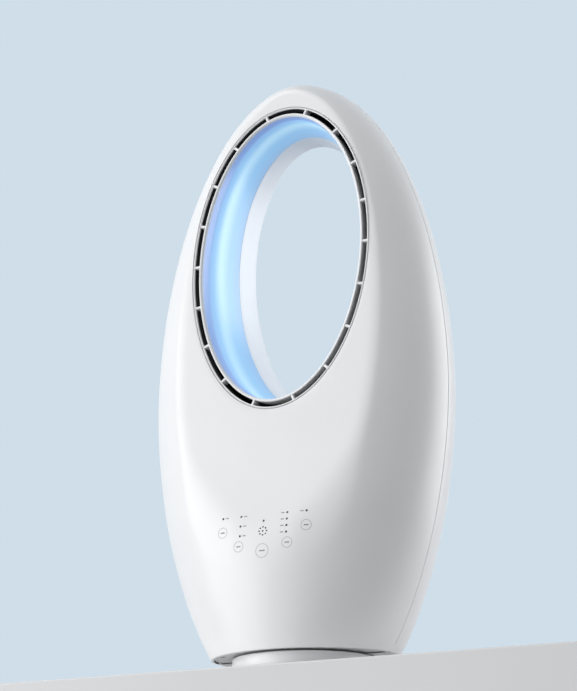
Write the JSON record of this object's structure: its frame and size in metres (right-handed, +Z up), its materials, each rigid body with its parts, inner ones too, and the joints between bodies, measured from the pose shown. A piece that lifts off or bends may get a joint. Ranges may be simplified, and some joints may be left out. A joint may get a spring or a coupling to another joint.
{
  "type": "bladeless fan",
  "caption": "Egg-shaped bladeless table fan with a ribbed oval air slot, a lit band round the opening's wall, touch keys below it, and a body that swivels on a low round base.",
  "frame": {"origin": "centre of the base's underside, on the swivel axis", "axes": "+Z up, the air slot and the touch keys face -Y, and +X is at the right as one looks at that face"},
  "size_m": [0.315, 0.1717, 0.6],
  "materials": {
    "white_shell": "smooth moulded ABS, semi-gloss white",
    "white_satin": "moulded ABS, satin white",
    "light_band": "opal diffuser, lit blue-white",
    "smoked_lens": "smoked polycarbonate, dark until a lamp behind it lights",
    "grey_plastic": "moulded polypropylene, plain grey",
    "dark_plastic": "glass-filled nylon, dark grey",
    "rubber": "moulded rubber, matt",
    "acetal": "acetal, natural white",
    "steel": "plated steel",
    "circuit_board": "solder-masked laminate with its parts"
  },
  "bodies": {
    "base": {"foot_pad": "rubber", "base_plate": "white_satin", "ballast_plate": "steel", "base_cover": "white_shell", "cord_gland": "rubber", "swivel_post": "acetal", "post_screw_1": "steel", "post_screw_2": "steel", "post_screw_3": "steel", "thrust_ring": "acetal", "fixed_gear": "acetal", "post_nut": "steel"},
    "body": {"motor_damper_1": "rubber", "motor_damper_2": "rubber", "motor_damper_3": "rubber", "body_floor": "white_satin", "throat_liner": "white_satin", "intake_grille": "white_satin", "fan_motor": "steel", "swivel_motor": "steel", "key_spring_1": "steel", "key_spring_2": "steel", "key_spring_3": "steel", "key_spring_4": "steel", "key_spring_5": "steel", "shell_screw_1": "steel", "shell_screw_2": "steel", "shell_screw_3": "steel", "shell_screw_4": "steel", "floor_screw_1": "steel", "floor_screw_2": "steel", "floor_screw_3": "steel", "floor_screw_4": "steel", "front_shell": "white_shell", "rear_shell": "white_shell", "nozzle_ring": "white_shell", "post_bush": "acetal", "light_diffuser": "light_band", "light_guide": "smoked_lens", "led_strip": "circuit_board", "control_board": "circuit_board", "power_board": "circuit_board", "plenum_divider": "grey_plastic", "blower_scroll": "grey_plastic", "blower_cover": "grey_plastic", "buzzer": "dark_plastic"},
    "impeller": {"impeller": "dark_plastic", "motor_shaft": "steel", "impeller_nut": "steel"},
    "pinion": {"swivel_pinion": "acetal"}
  },
  "joints": [
    {"name": "body_swivel", "type": "hinge", "parent": "base", "child": "body", "pos_m": [0, 0, 0.0155], "axis": [0, 0, 1], "range_deg": [-40, 40]},
    {"name": "impeller_spin", "type": "hinge", "parent": "body", "child": "impeller", "pos_m": [0, 0.01, 0.1361], "axis": [0, 1, 0], "continuous": true},
    {"name": "pinion_spin", "type": "hinge", "parent": "body", "child": "pinion", "pos_m": [0, -0.03, 0.026], "axis": [0, 0, 1], "range_deg": [-125, 125]}
  ],
  "couplings": [
    {"joint": "pinion_spin", "follows": "body_swivel", "ratio": 3}
  ]
}
